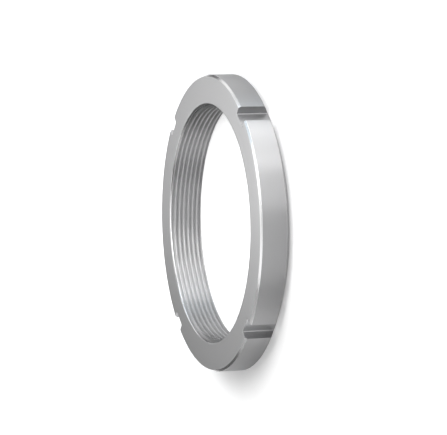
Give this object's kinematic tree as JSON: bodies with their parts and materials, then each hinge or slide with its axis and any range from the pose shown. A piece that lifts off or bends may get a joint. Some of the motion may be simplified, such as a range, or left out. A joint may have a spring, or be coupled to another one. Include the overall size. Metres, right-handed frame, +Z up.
{
  "type": "slotted lock nut",
  "caption": "Round slotted lock nut with a fine right-hand metric thread, parallel slots through its rim and a bevelled bearing face.",
  "frame": {"origin": "centre of the bearing face, on which the nut lies", "axes": "+Z up along the bore's axis, out of the bearing face towards the other face; the slots lie on the X and Y axes"},
  "size_m": [0.1846, 0.1846, 0.021],
  "materials": {
    "ground_steel": "turned and fine ground, satin"
  },
  "bodies": {
    "root": {"lock_nut": "ground_steel"}
  },
  "joints": []
}
